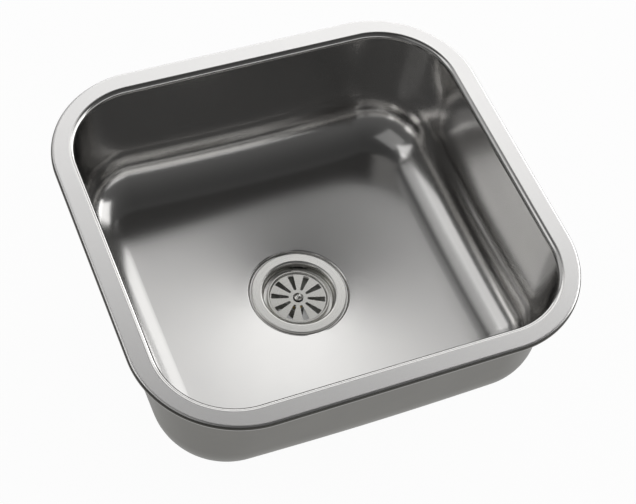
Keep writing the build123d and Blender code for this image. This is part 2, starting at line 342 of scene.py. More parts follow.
def pressed_bowl_tree():
    """Carries a section round a rounded rectangle and lays its floor on a cone.

    A section point is (reach of the corner's centre, radius round it, height).
    Its "foot" value is the radius at which the rounding above it meets the floor, and
    its "skin" value says how the sheet is finished there.
    """
    tree, size = new_tree(
        "pressed_bowl",
        around="Int",
        side_difference="Float",
        floor_slope="Float",
        lift_foot="Float",
        lift_top="Float",
    )
    place = made(tree, "GeometryNodeInputPosition")
    foot, skin = (
        add_node(
            tree, "GeometryNodeInputNamedAttribute", [("Name", name)], data_type="FLOAT"
        ).outputs["Attribute"]
        for name in ("foot", "skin")
    )
    square = made(
        tree, "GeometryNodeCurvePrimitiveQuadrilateral", [("Width", 4.0), ("Height", 4.0)]
    )
    rounded = made(
        tree,
        "GeometryNodeFilletCurve",
        [("Curve", square), ("Radius", 1.0), ("Count", 64)],
        mode="POLY",
    )
    even = made(
        tree,
        "GeometryNodeResampleCurve",
        [("Curve", rounded), ("Count", size["Around"])],
        mode="COUNT",
    )
    ring = captured(tree, even, [("ring", "VECTOR", place)])
    section = made(tree, "GeometryNodeMeshToCurve", [("Mesh", size["Geometry"])])
    profile = captured(
        tree,
        section,
        [("place", "VECTOR", place), ("foot", "FLOAT", foot), ("skin", "FLOAT", skin)],
    )
    sheet = made(
        tree, "GeometryNodeCurveToMesh", [("Curve", ring[0]), ("Profile Curve", profile[0])]
    )
    below_one = vector_math(tree, "MINIMUM", ring["ring"], (1.0, 1.0, 0.0))
    side = vector_math(tree, "MAXIMUM", below_one, (-1.0, -1.0, 0.0))
    outward = vector_math(tree, "SUBTRACT", ring["ring"], side)
    reach, radius, height = split(tree, profile["place"])
    reach_y = math(tree, "MAXIMUM", math(tree, "SUBTRACT", reach, size["Side Difference"]), 0.0)
    centre = vector_math(tree, "MULTIPLY", side, xyz(tree, reach, reach_y, 0.0))

    def round_corner(length):
        """The point this far out from the corner's centre."""
        arm = vector_math(tree, "MULTIPLY", outward, xyz(tree, length, length, 0.0))
        return vector_math(tree, "ADD", centre, arm)

    floor_point = vector_math(tree, "LENGTH", round_corner(profile["foot"]))
    level_point = math(tree, "ADD", reach, profile["foot"])
    share = made(
        tree,
        "ShaderNodeMapRange",
        [("Value", height), (1, size["Lift Top"]), (2, size["Lift Foot"])],
    )
    past_level = math(tree, "SUBTRACT", floor_point, level_point)
    rise = math(tree, "MULTIPLY", past_level, size["Floor Slope"])
    lift = math(tree, "MULTIPLY", rise, share)
    raised = xyz(tree, 0.0, 0.0, math(tree, "ADD", height, lift))
    position = vector_math(tree, "ADD", round_corner(radius), raised)
    placed = made(tree, "GeometryNodeSetPosition", [("Geometry", sheet), ("Position", position)])
    marked = made(
        tree,
        "GeometryNodeStoreNamedAttribute",
        [("Geometry", placed), ("Name", "skin"), ("Value", profile["skin"])],
        data_type="FLOAT",
        domain="POINT",
    )
    return end_tree(tree, marked, size["Finish"])


def turned_tree():
    """Carries a section of (0, radius, height) points once round the Z axis."""
    tree, size = new_tree("turned", around="Int")
    place = made(tree, "GeometryNodeInputPosition")
    circle = made(
        tree, "GeometryNodeCurvePrimitiveCircle", [("Resolution", size["Around"]), ("Radius", 1.0)]
    )
    ring = captured(tree, circle, [("ring", "VECTOR", place)])
    section = made(tree, "GeometryNodeMeshToCurve", [("Mesh", size["Geometry"])])
    profile = captured(tree, section, [("place", "VECTOR", place)])
    skin = made(
        tree, "GeometryNodeCurveToMesh", [("Curve", ring[0]), ("Profile Curve", profile[0])]
    )
    _, radius, height = split(tree, profile["place"])
    arm = vector_math(tree, "MULTIPLY", ring["ring"], xyz(tree, radius, radius, 0.0))
    position = vector_math(tree, "ADD", arm, xyz(tree, 0.0, 0.0, height))
    placed = made(tree, "GeometryNodeSetPosition", [("Geometry", skin), ("Position", position)])
    merged = made(tree, "GeometryNodeMergeByDistance", [("Geometry", placed), ("Distance", 1e-6)])
    return end_tree(tree, merged, size["Finish"])


def around_axis(tree, geometry, count, start):
    """Instances of a geometry at even angles round the Z axis."""
    points = made(tree, "GeometryNodePoints", [("Count", count)])
    index = made(tree, "GeometryNodeInputIndex")
    step = math(tree, "DIVIDE", FULL_TURN, count)
    angle = math(tree, "ADD", start, math(tree, "MULTIPLY", index, step))
    return made(
        tree,
        "GeometryNodeInstanceOnPoints",
        [("Points", points), ("Instance", geometry), ("Rotation", xyz(tree, 0.0, 0.0, angle))],
    )


def repeated_tree():
    """Repeats a piece at even angles round the Z axis."""
    tree, size = new_tree("repeated", count="Int", start="Float")
    ring = around_axis(tree, size["Geometry"], size["Count"], size["Start"])
    return end_tree(tree, ring, size["Finish"])


def slotted_tree():
    """Cuts a tool out of a plate at even angles round the Z axis."""
    tree, size = new_tree("slotted", tool="Object", count="Int", start="Float")
    tool = add_node(tree, "GeometryNodeObjectInfo", [("Object", size["Tool"])])
    ring = around_axis(tree, tool.outputs["Geometry"], size["Count"], size["Start"])
    real = made(tree, "GeometryNodeRealizeInstances", [(0, ring)])
    cut = made(
        tree,
        "GeometryNodeMeshBoolean",
        [("Mesh 1", size["Geometry"]), ("Mesh 2", real)],
        operation="DIFFERENCE",
        solver="EXACT",
    )
    return end_tree(tree, cut, size["Finish"])


def threaded_tree():
    """Draws a screw thread into the points of a turned piece between two heights.

    Only points that lie no further in than the radius are moved.
    """
    tree, size = new_tree(
        "threaded", low="Float", high="Float", radius="Float", depth="Float", pitch="Float"
    )
    place = made(tree, "GeometryNodeInputPosition")
    x, y, z = split(tree, place)
    turn = math(tree, "DIVIDE", math(tree, "ARCTAN2", y, x), FULL_TURN)
    along = math(tree, "SUBTRACT", math(tree, "DIVIDE", z, size["Pitch"]), turn)
    wave = math(tree, "PINGPONG", math(tree, "FRACT", along), 0.5)
    depth = math(tree, "MULTIPLY", math(tree, "MULTIPLY", wave, 2.0), size["Depth"])
    flat = vector_math(tree, "MULTIPLY", place, (1.0, 1.0, 0.0))
    just_inside = math(tree, "SUBTRACT", size["Radius"], 1e-5)
    outer = math(tree, "GREATER_THAN", vector_math(tree, "LENGTH", flat), just_inside)
    above = math(tree, "GREATER_THAN", z, size["Low"])
    below = math(tree, "LESS_THAN", z, size["High"])
    chosen = math(tree, "MULTIPLY", outer, math(tree, "MULTIPLY", above, below))
    inward = made(
        tree,
        "ShaderNodeVectorMath",
        [(0, vector_math(tree, "NORMALIZE", flat)), ("Scale", math(tree, "MULTIPLY", depth, -1.0))],
        operation="SCALE",
    )
    moved = made(
        tree,
        "GeometryNodeSetPosition",
        [("Geometry", size["Geometry"]), ("Selection", chosen), ("Offset", inward)],
    )
    return end_tree(tree, moved, size["Finish"])


PRESSED_BOWL = pressed_bowl_tree()
TURNED = turned_tree()
REPEATED = repeated_tree()
SLOTTED = slotted_tree()
THREADED = threaded_tree()


# ---- making meshes -----------------------------------------------------------
def new_object(name, vertices, edges=(), faces=()):
    """An object with a mesh of millimetre points, linked to the scene."""
    mesh = bpy.data.meshes.new(name)
    mesh.from_pydata([Vector(v) * MM for v in vertices], edges, faces)
    piece = bpy.data.objects.new(name, mesh)
    bpy.context.scene.collection.objects.link(piece)
    return piece


def apply_tree(piece, tree, finish, **sizes):
    """Run a geometry tree on an object and keep the result as its plain mesh."""
    modifier = piece.modifiers.new(tree.name, "NODES")
    modifier.node_group = tree
    values = {key.replace("_", " ").title(): value for key, value in sizes.items()}
    values["Finish"] = finish
    for socket in tree.interface.items_tree:
        if socket.in_out == "INPUT" and socket.name in values:
            modifier[socket.identifier] = values[socket.name]
    bpy.context.view_layer.update()
    graph = bpy.context.evaluated_depsgraph_get()
    mesh = bpy.data.meshes.new_from_object(piece.evaluated_get(graph))
    piece.modifiers.remove(modifier)
    piece.data = mesh
    return piece


def closed_section(name, points):
    """A closed loop of edges through (x, y, z) points."""
    count = len(points)
    return new_object(name, points, edges=[(i, (i + 1) % count) for i in range(count)])


def turned(name, corners, finish, around=192, **outline):
    """A piece turned from a closed outline of (radius, z, bend) corners."""
    points = [(0.0, point.x, point.y) for point in bent_outline(corners, **outline)]
    return apply_tree(closed_section(name, points), TURNED, finish, around=around)


def prism(name, outline, low, high):
    """A straight-sided piece from a closed (x, y) outline between two heights."""
    count = len(outline)
    vertices = [(p[0], p[1], low) for p in outline] + [(p[0], p[1], high) for p in outline]
    faces = [tuple(reversed(range(count))), tuple(range(count, 2 * count))]
    faces += [(i, (i + 1) % count, count + (i + 1) % count, count + i) for i in range(count)]
    return new_object(name, vertices, faces=faces)


def join_into(piece, *others):
    """Add the meshes of other objects to a piece and remove those objects."""
    shape = bmesh.new()
    shape.from_mesh(piece.data)
    for other in others:
        shape.from_mesh(other.data)
        bpy.data.objects.remove(other)
    shape.to_mesh(piece.data)
    shape.free()
    return piece


def smooth(piece, sharp_angle=radians(35)):
    """Face outwards, shade smooth and keep edges sharper than the angle crisp."""
    shape = bmesh.new()
    shape.from_mesh(piece.data)
    bmesh.ops.remove_doubles(shape, verts=shape.verts, dist=1e-7)
    bmesh.ops.recalc_face_normals(shape, faces=shape.faces)
    for face in shape.faces:
        face.smooth = True
    shape.to_mesh(piece.data)
    shape.free()
    piece.data.set_sharp_from_angle(angle=sharp_angle)
    return piece


def finished(piece, body, slot, *nodes):
    """Let a piece ride on its body and stand for its nodes."""
    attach(piece, body)
    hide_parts(*nodes)
    return piece


# ---- materials ---------------------------------------------------------------
def linear(hex_colour):
    """Linear RGBA from an sRGB hex colour such as "#8A8B8C"."""
    parts = [int(hex_colour[i:i + 2], 16) / 255 for i in (1, 3, 5)]
    light = [c / 12.92 if c <= 0.04045 else ((c + 0.055) / 1.055) ** 2.4 for c in parts]
    return (*light, 1.0)


def new_material(name):
    """An empty node material and its shader."""
    material = bpy.data.materials.new(name)
    material.use_nodes = True
    return material, material.node_tree, material.node_tree.nodes["Principled BSDF"]


def mixed(tree, share, first, second):
    """A colour between two."""
    colours = [(0, share), (6, first), (7, second)]
    return add_node(tree, "ShaderNodeMix", colours, data_type="RGBA").outputs[2]


def noise(tree, place, cell, detail):
    """Noise in cells of this many millimetres."""
    inputs = [("Vector", place), ("Scale", 1 / (cell * MM)), ("Detail", detail)]
    return add_node(tree, "ShaderNodeTexNoise", inputs).outputs["Fac"]


def spread(tree, noise_value, low, high):
    """The common part of a noise's range, spread between two values."""
    inputs = [("Value", noise_value), (1, 0.3), (2, 0.7), (3, low), (4, high)]
    return made(tree, "ShaderNodeMapRange", inputs)


def dress(tree, shader, tone, roughness, grain, bump):
    """Link a tone and a roughness to the shader, and a grain with its bump (strength, height)."""
    strength, height = bump
    inputs = [("Height", grain), ("Strength", strength), ("Distance", height * MM)]
    tree.links.new(tone, shader.inputs["Base Color"])
    tree.links.new(roughness, shader.inputs["Roughness"])
    tree.links.new(made(tree, "ShaderNodeBump", inputs), shader.inputs["Normal"])


def satin_stainless():
    """Stainless steel 304, pressed, with a satin polish on the side that is in use.

    The eye gets a soft, nearly neutral grey mirror inside: edges of reflections are blurred
    but still readable, and a fine polishing grain breaks the highlights a little.
    The flange's flat face is brushed and spreads its reflections wider. The outside is
    dull, as unpolished sheet is, and its darker tone is painted shade. The lip's bend
    has a darker tone still, also painted shade. Both tones are matched.
    """
    material, tree, shader = new_material("satin_stainless_304")
    shader.inputs["Metallic"].default_value = 1.0
    place = add_node(tree, "ShaderNodeTexCoord").outputs["Object"]
    skin = add_node(tree, "ShaderNodeAttribute", attribute_name="skin").outputs["Fac"]
    grain = noise(tree, place, SATIN_GRAIN, 2.0)
    cloud = noise(tree, place, 45.0, 3.0)
    polished = mixed(tree, cloud, linear("#C2C1C0"), linear("#C8C7C5"))
    # the outside: a duller mill finish, with a darker tone that is painted shade
    milled_and_shaded = mixed(tree, cloud, linear("#767572"), linear("#7F7E7A"))
    # the lip's bend: a dark tone that is painted shade
    lip_painted_shade = mixed(tree, cloud, linear("#4E4D4A"), linear("#575653"))
    brushed = mixed(tree, cloud, linear("#DDDCDB"), linear("#E2E1E0"))
    brushed_share = math(tree, "MAXIMUM", math(tree, "MULTIPLY", skin, BRUSHED), POLISHED)
    mill_and_shade_share = math(tree, "MAXIMUM", math(tree, "MINIMUM", skin, MILL_SKIN_AND_SHADE), POLISHED)
    lip_shade_share = math(tree, "MAXIMUM", math(tree, "SUBTRACT", skin, MILL_SKIN_AND_SHADE), POLISHED)
    top_tone = mixed(tree, brushed_share, polished, brushed)
    tone = mixed(tree, lip_shade_share, mixed(tree, mill_and_shade_share, top_tone, milled_and_shaded), lip_painted_shade)
    wider = math(
        tree,
        "ADD",
        math(tree, "MULTIPLY", mill_and_shade_share, MILL_ROUGHER_BY),
        math(tree, "MULTIPLY", brushed_share, BRUSHED_ROUGHER_BY),
    )
    roughness = math(tree, "ADD", spread(tree, grain, *SATIN_ROUGHNESS), wider)
    dress(tree, shader, tone, roughness, grain, SATIN_BUMP)
    return material


def turned_stainless(name, light, dark, roughness):
    """Stainless steel pressed and then turned against a polishing mop.

    Its tone, roughness and height vary in fine rings round the piece's own axis.
    """
    material, tree, shader = new_material(name)
    shader.inputs["Metallic"].default_value = 1.0
    place = add_node(tree, "ShaderNodeTexCoord").outputs["Object"]
    radius = vector_math(tree, "LENGTH", vector_math(tree, "MULTIPLY", place, (1.0, 1.0, 0.0)))
    rings = add_node(
        tree,
        "ShaderNodeTexNoise",
        [("W", radius), ("Scale", 1 / (0.5 * MM)), ("Detail", 3.0)],
        noise_dimensions="1D",
    ).outputs["Fac"]
    tone = mixed(tree, rings, linear(dark), linear(light))
    rough = spread(tree, rings, roughness * 0.8, roughness * 1.25)
    dress(tree, shader, tone, rough, rings, bump=(0.05, 0.02))
    return material


def plain_finish(name, light, dark, roughness, cell, bump, metallic=0.0):
    """A finish with a mottled tone and a fine surface grain, in cells of this size."""
    material, tree, shader = new_material(name)
    shader.inputs["Metallic"].default_value = metallic
    place = add_node(tree, "ShaderNodeTexCoord").outputs["Object"]
    grain = noise(tree, place, cell, 4.0)
    tone = mixed(tree, grain, linear(dark), linear(light))
    rough = spread(tree, grain, roughness * 0.85, roughness * 1.15)
    dress(tree, shader, tone, rough, grain, bump)
    return material


# ---- the bowl ----------------------------------------------------------------
def make_bowl(steel):
    """The pressed bowl: one sheet from the drain hole to the turned-down lip and back below."""
    bend_shift = SHEET * tan(RECESS_SLOPE / 2)
    draft = tan(WALL_DRAFT)

    def wall_foot(grow):
        """Where the drafted wall and the falling floor would meet, seen from the front."""
        floor_at_axis = FLOOR_EDGE_Z - grow - FLOOR_SLOPE * WALL_HALF
        wall_at_top = WALL_HALF + grow
        z = (floor_at_axis + FLOOR_SLOPE * wall_at_top) / (1 - FLOOR_SLOPE * draft)
        return wall_at_top + draft * z, z

    inner_foot = wall_foot(0.0)
    outer_foot = wall_foot(SHEET)
    lip_bottom = -LIP_DROP
    corners = [
        (DRAIN_HOLE_RADIUS, SEAT_Z, 0.0),
        (RECESS_RADIUS - RECESS_RUN, SEAT_Z, RECESS_SEAT_BEND),
        (RECESS_RADIUS, RECESS_EDGE_Z, RECESS_MOUTH_BEND),
        (*inner_foot, FLOOR_ROUND),
        (WALL_HALF, 0.0, MOUTH_RADIUS),
        (RIM_HALF, 0.0, LIP_RADIUS),
        (RIM_HALF, lip_bottom, 0.0),
        (RIM_HALF - SHEET, lip_bottom, 0.0),
        (RIM_HALF - SHEET, -SHEET, LIP_RADIUS - SHEET),
        (WALL_HALF + SHEET, -SHEET, MOUTH_RADIUS - SHEET),
        (*outer_foot, FLOOR_ROUND + SHEET),
        (RECESS_RADIUS + bend_shift, RECESS_EDGE_Z - SHEET, RECESS_MOUTH_BEND - SHEET),
        (RECESS_RADIUS - RECESS_RUN + bend_shift, SEAT_Z - SHEET, RECESS_SEAT_BEND + SHEET),
        (DRAIN_HOLE_RADIUS, SEAT_Z - SHEET, 0.0),
    ]
    outline = bent_outline(corners, longest_run=7.0, bend_step=radians(5.2), support=0.4)
    foot_half = inner_foot[0] - FLOOR_ROUND
    round_floor = RECESS_RADIUS + RECESS_MOUTH_BEND
    flange_inner = WALL_HALF + MOUTH_RADIUS
    flange_outer = RIM_HALF - LIP_RADIUS

    def corner_reach(half):
        """How far out the corner's centre lies where the section is this far from the middle."""
        if half < foot_half:
            share = (half - round_floor) / (foot_half - round_floor)
            return CORNER_REACH * max(share, 0.0)
        share = (half - flange_inner) / (flange_outer - flange_inner)
        return CORNER_REACH + (RIM_REACH - CORNER_REACH) * min(max(share, 0.0), 1.0)

    points = []
    feet = []
    skins = []
    outside = False        # until the outline has come round the lip's lowest edge
    for point in outline:
        at_lip_edge = point.x > RIM_HALF - SHEET / 2 and point.y < lip_bottom + EDGE_MARGIN
        outside = outside or at_lip_edge
        # outside the lip's lowest edge the sheet is duller, and its darker tone is painted shade
        if outside:
            skins.append(MILL_SKIN_AND_SHADE)
        # the lip's bend gets a dark tone, painted shade; its cut edge below stays bright
        elif point.x > RIM_HALF - LIP_RADIUS / 3:
            skins.append(LIP_PAINTED_SHADE if point.y > EDGE_MARGIN - LIP_RADIUS else POLISHED)
        elif point.x > flange_inner and point.y > -SHEET / 2:
            skins.append(BRUSHED)
        else:
            skins.append(POLISHED)
        reach = corner_reach(point.x)
        points.append((reach, point.x - reach, point.y))
        feet.append(min(point.x, foot_half) - corner_reach(min(point.x, foot_half)))
    bowl = closed_section("pressed_bowl", points)
    foot = bowl.data.attributes.new("foot", "FLOAT", "POINT")
    foot.data.foreach_set("value", [value * MM for value in feet])
    skin = bowl.data.attributes.new("skin", "FLOAT", "POINT")
    skin.data.foreach_set("value", skins)
    apply_tree(
        bowl,
        PRESSED_BOWL,
        steel,
        around=BOWL_STEPS_AROUND,
        side_difference=SIDE_DIFFERENCE * MM,
        floor_slope=FLOOR_SLOPE,
        lift_foot=(inner_foot[1] + FLOOR_ROUND) * MM,
        lift_top=LIFT_TOP_Z * MM,
    )
    return finished(smooth(bowl), "sink", "bowl_steel", "sink_bowl")


# ---- the waste in the floor --------------------------------------------------
def make_waste_ring(steel):
    """Ring, cup and ledge of the waste, one pressing."""
    sheet = RING_SHEET
    skirt_z = RING_TOP - RING_HEIGHT + SKIRT_GAP
    ring = turned(
        "waste_ring",
        [
            (RING_RADIUS, skirt_z, 0.0),
            (RING_RADIUS, RING_TOP, RING_BEND),
            (CUP_MOUTH_RADIUS, RING_TOP, CUP_MOUTH_BEND),
            (CUP_FOOT_RADIUS, LEDGE_Z, LEDGE_BEND),
            (LEDGE_RADIUS, LEDGE_Z, RING_BEND),
            (LEDGE_RADIUS, LEDGE_Z - LEDGE_TURN_DOWN, 0.0),
            (LEDGE_RADIUS + sheet, LEDGE_Z - LEDGE_TURN_DOWN, 0.0),
            (LEDGE_RADIUS + sheet, LEDGE_Z - sheet, RING_BEND - sheet),
            (CUP_FOOT_RADIUS + sheet, LEDGE_Z - sheet, LEDGE_BEND + sheet),
            (CUP_MOUTH_RADIUS + sheet, RING_TOP - sheet, CUP_MOUTH_BEND - sheet),
            (RING_RADIUS - sheet, RING_TOP - sheet, RING_BEND - sheet),
            (RING_RADIUS - sheet, skirt_z, 0.0),
        ],
        steel,
        around=240,
        longest_run=2.5,
        bend_step=radians(10),
        support=0.2,
    )
    return finished(smooth(ring), "sink", "waste_steel", "waste_flange")


def make_strainer(steel):
    """Strainer plate: slotted disc with a raised bead round it and a locating lug."""
    plate = turned(
        "strainer",
        [
            (SCREW_HOLE_RADIUS, PLATE_Z, PLATE_EDGE),
            (PLATE_RADIUS - BEAD_WIDTH - BEAD_INNER_RUN, PLATE_Z, BEAD_INNER_FOOT_BEND),
            (PLATE_RADIUS - BEAD_WIDTH, BEAD_Z, BEAD_BEND),
            (PLATE_RADIUS - BEAD_OUTER_RUN, BEAD_Z, BEAD_BEND),
            (PLATE_RADIUS, PLATE_Z - PLATE_SHEET, PLATE_FOOT_BEND),
            (SCREW_HOLE_RADIUS, PLATE_Z - PLATE_SHEET, PLATE_EDGE),
        ],
        steel,
        around=240,
        longest_run=30.0,
        bend_step=radians(12),
        support=0.1,
    )
    slot = prism(
        "slot_tool",
        bent_outline(
            [
                (SLOT_INNER, -SLOT_INNER_WIDTH / 2, SLOT_INNER_ROUND),
                (SLOT_OUTER, -SLOT_OUTER_WIDTH / 2, SLOT_OUTER_ROUND),
                (SLOT_OUTER, SLOT_OUTER_WIDTH / 2, SLOT_OUTER_ROUND),
                (SLOT_INNER, SLOT_INNER_WIDTH / 2, SLOT_INNER_ROUND),
            ],
            longest_run=30.0,
            bend_step=radians(15),
            support=0.1,
        ),
        PLATE_Z - 3 * PLATE_SHEET,
        PLATE_Z + 2 * PLATE_SHEET,
    )
    smooth(slot)
    smooth(plate)
    apply_tree(plate, SLOTTED, steel, tool=slot, count=SLOT_COUNT, start=SLOT_PHASE)
    bpy.data.objects.remove(slot)
    inner = PLATE_RADIUS - LUG_OVERLAP
    lug = prism(
        "lug",
        bent_outline(
            [
                (inner, -LUG_WIDTH / 2, 0.0),
                (inner + LUG_REACH, -LUG_WIDTH / 2, LUG_CORNER),
                (inner + LUG_REACH, LUG_WIDTH / 2, LUG_CORNER),
                (inner, LUG_WIDTH / 2, 0.0),
            ],
            bend_step=radians(10),
        ),
        BEAD_Z - LUG_DROP - LUG_THICKNESS,
        BEAD_Z - LUG_DROP,
    )
    apply_tree(lug, REPEATED, steel, count=1, start=LUG_AZIMUTH)
    join_into(plate, lug)
    return finished(smooth(plate, radians(30)), "strainer", "waste_steel", "strainer_plate")


def make_washer(nylon):
    """Nylon washer under the screw's head."""
    washer = turned(
        "nylon_washer",
        [
            (WASHER_HOLE_RADIUS, washer_low.z, WASHER_EDGE),
            (WASHER_RADIUS, washer_low.z, WASHER_EDGE),
            (WASHER_RADIUS, washer_high.z, WASHER_EDGE),
            (WASHER_HOLE_RADIUS, washer_high.z, WASHER_EDGE),
        ],
        nylon,
        around=96,
        bend_step=radians(20),
        support=0.1,
    )
    return finished(smooth(washer), "washer", "washer_nylon", "screw_washer")


def make_screw(steel):
    """Domed slotted screw with its thread."""
    crown_z = HEAD_Z + HEAD_HEIGHT
    tip_z = screw_low.z
    edge_z = HEAD_Z + HEAD_EDGE
    dome_rise = crown_z - edge_z
    dome_radius = (HEAD_RADIUS ** 2 + dome_rise ** 2) / (2 * dome_rise)
    dome = []
    for step in range(DOME_STEPS):
        radius = HEAD_RADIUS * (1 - step / DOME_STEPS)
        drop = dome_radius - (dome_radius ** 2 - radius ** 2) ** 0.5
        dome.append((radius, crown_z - drop))
    thread_top = HEAD_Z - PLAIN_SHANK
    thread_length = thread_top - tip_z - SCREW_TIP
    shank = [
        (SCREW_RADIUS, thread_top - thread_length * step / SCREW_THREAD_STEPS)
        for step in range(SCREW_THREAD_STEPS, -1, -1)
    ]
    outline = [
        (0.0, crown_z),
        (0.0, tip_z),
        (SCREW_RADIUS - SCREW_TIP, tip_z),
        *shank,
        (SCREW_RADIUS, HEAD_Z),
        (HEAD_RADIUS, HEAD_Z),
        *dome,
    ]
    points = [(0.0, radius, z) for radius, z in outline]
    screw = apply_tree(closed_section("slotted_screw", points), TURNED, steel, around=96)
    apply_tree(
        screw,
        THREADED,
        steel,
        low=(tip_z + SCREW_TIP + THREAD_MARGIN) * MM,
        high=(thread_top - THREAD_MARGIN) * MM,
        radius=SCREW_RADIUS * MM,
        depth=SCREW_THREAD_DEPTH * MM,
        pitch=SCREW_PITCH * MM,
    )
    smooth(screw)
    half_slot = DRIVER_SLOT_WIDTH / 2
    reach = HEAD_RADIUS + 1
    tool = prism(
        "driver_slot_tool",
        [(-reach, -half_slot), (reach, -half_slot), (reach, half_slot), (-reach, half_slot)],
        crown_z - DRIVER_SLOT_DEPTH,
        crown_z + 1,
    )
    smooth(tool)
    apply_tree(screw, SLOTTED, steel, tool=tool, count=1, start=DRIVER_SLOT_AZIMUTH)
    bpy.data.objects.remove(tool)
    return finished(smooth(screw), "screw", "screw_steel", "strainer_screw")


# ---- gaskets, waste body and pad ---------------------------------------------
def make_gasket(name, rubber, node):
    """A flat rubber gasket with softened rims."""
    low, high = node_box(node)
    inner = DRAIN_HOLE_RADIUS + GASKET_GAP
    gasket = turned(
        name,
        [
            (inner, low.z, GASKET_EDGE),
            (high.x, low.z, GASKET_EDGE),
            (high.x, high.z, GASKET_EDGE),
            (inner, high.z, GASKET_EDGE),
        ],
        rubber,
        around=180,
        bend_step=radians(20),
        support=0.1,
    )
    return finished(smooth(gasket), "sink", "gasket_rubber", node)


def make_waste_body(plastic):
    """Moulded waste body: funnel, threaded outlet, boss on three webs and outer ribs."""
    flange_low = BODY_TOP_Z - BODY_FLANGE_HEIGHT
    outlet_top = FUNNEL_FOOT_Z - BODY_WALL / 2
    thread_low = BODY_END_Z + OUTLET_PLAIN_END
    thread_high = outlet_top - OUTLET_PLAIN_TOP
    thread = [
        (OUTLET_RADIUS, thread_high + (thread_low - thread_high) * step / OUTLET_THREAD_STEPS, 0.0)
        for step in range(OUTLET_THREAD_STEPS + 1)
    ]
    body = turned(
        "waste_body_moulding",
        [
            (BODY_BORE, BODY_TOP_Z, BODY_INNER_EDGE),
            (BODY_FLANGE_RADIUS, BODY_TOP_Z, BODY_EDGE),
            (BODY_FLANGE_RADIUS, flange_low, BODY_EDGE),
            (BODY_BORE + BODY_WALL, flange_low, 0.5),
            (BODY_BORE + BODY_WALL, FUNNEL_TOP_Z, 1.5),
            (OUTLET_RADIUS, outlet_top, 1.0),
            *thread,
            (OUTLET_RADIUS - 0.5, BODY_END_Z, 0.0),
            (OUTLET_BORE, BODY_END_Z, BODY_INNER_EDGE),
            (OUTLET_BORE, FUNNEL_FOOT_Z, FUNNEL_ROUND),
            (BODY_BORE, FUNNEL_TOP_Z, FUNNEL_ROUND),
        ],
        plastic,
        around=180,
        longest_run=4.0,
        bend_step=radians(12),
        support=0.2,
    )
    apply_tree(
        body,
        THREADED,
        plastic,
        low=(thread_low + THREAD_MARGIN) * MM,
        high=(thread_high - THREAD_MARGIN) * MM,
        radius=OUTLET_RADIUS * MM,
        depth=OUTLET_THREAD_DEPTH * MM,
        pitch=OUTLET_PITCH * MM,
    )
    boss = turned(
        "boss",
        [
            (INSERT_RADIUS, BOSS_TOP_Z, BODY_INNER_EDGE),
            (BOSS_RADIUS, BOSS_TOP_Z, BOSS_EDGE),
            (BOSS_RADIUS, BOSS_TOP_Z - BOSS_HEIGHT, BOSS_EDGE),
            (INSERT_RADIUS, BOSS_TOP_Z - BOSS_HEIGHT, BODY_INNER_EDGE),
        ],
        plastic,
        around=72,
        bend_step=radians(20),
        support=0.2,
    )
    half_web = WEB_THICKNESS / 2
    web_low = BOSS_TOP_Z - WEB_DROP - WEB_HEIGHT
    web_high = BOSS_TOP_Z - WEB_DROP
    web = new_object(
        "web",
        [
            (x, y, z)
            for x, z in (
                (BOSS_RADIUS - BOSS_EDGE, web_low),
                (OUTLET_BORE + JOINT_DEPTH, web_low),
                (OUTLET_BORE + JOINT_DEPTH, web_high),
                (BOSS_RADIUS - BOSS_EDGE, web_high),
            )
            for y in (-half_web, half_web)
        ],
        faces=[(0, 2, 3, 1), (2, 4, 5, 3), (4, 6, 7, 5), (6, 0, 1, 7), (0, 6, 4, 2), (1, 3, 5, 7)],
    )
    apply_tree(web, REPEATED, plastic, count=WEB_COUNT, start=WEB_AZIMUTH)
    rib_top = flange_low + JOINT_DEPTH
    rib_outline = [
        (BODY_BORE + 1, rib_top),
        (BODY_FLANGE_RADIUS - 1, rib_top),
        (BODY_FLANGE_RADIUS - 1, rib_top - RIB_STEP),
        (OUTLET_RADIUS + 2, FUNNEL_FOOT_Z),
        (OUTLET_RADIUS, FUNNEL_FOOT_Z),
    ]
    half_rib = RIB_THICKNESS / 2
    count = len(rib_outline)
    rib = new_object(
        "rib",
        [(x, y, z) for y in (-half_rib, half_rib) for x, z in rib_outline],
        faces=[tuple(range(count)), tuple(reversed(range(count, 2 * count)))]
        + [(i, count + i, count + (i + 1) % count, (i + 1) % count) for i in range(count)],
    )
    apply_tree(rib, REPEATED, plastic, count=RIB_COUNT, start=RIB_AZIMUTH)
    join_into(body, boss, web, rib)
    return finished(smooth(body, radians(32)), "sink", "body_polypropylene", "waste_body")


def make_insert(brass):
    """Brass insert drawn up into the boss from below."""
    collar_z = BOSS_TOP_Z - BOSS_HEIGHT
    insert = turned(
        "brass_insert",
        [
            (INSERT_BORE, BOSS_TOP_Z, 0.3),
            (INSERT_RADIUS, BOSS_TOP_Z, 0.1),
            (INSERT_RADIUS, collar_z, 0.0),
            (INSERT_RADIUS + INSERT_COLLAR_WIDTH, collar_z, 0.15),
            (INSERT_RADIUS + INSERT_COLLAR_WIDTH, collar_z - INSERT_COLLAR, 0.3),
            (INSERT_BORE, collar_z - INSERT_COLLAR, 0.3),
        ],
        brass,
        around=72,
        bend_step=radians(20),
        support=0.1,
    )
    return finished(smooth(insert), "sink", "insert_brass", "screw_insert")


def pad_edge(angle):
    """The pad's outer edge in one direction from the middle."""
    way = Vector((cos(angle), sin(angle)))
    reach = min(
        PAD_HALF_WIDTH / max(abs(way.x), 1e-9),
        PAD_HALF_DEPTH / max(abs(way.y), 1e-9),
    )
    edge = way * reach
    corner = Vector((PAD_HALF_WIDTH - PAD_CORNER, PAD_HALF_DEPTH - PAD_CORNER))
    if abs(edge.x) <= corner.x or abs(edge.y) <= corner.y:
        return edge
    centre = Vector((corner.x if way.x > 0 else -corner.x, corner.y if way.y > 0 else -corner.y))
    along = way.dot(centre)
    across = centre.length_squared - along ** 2
    return way * (along + (PAD_CORNER ** 2 - across) ** 0.5)


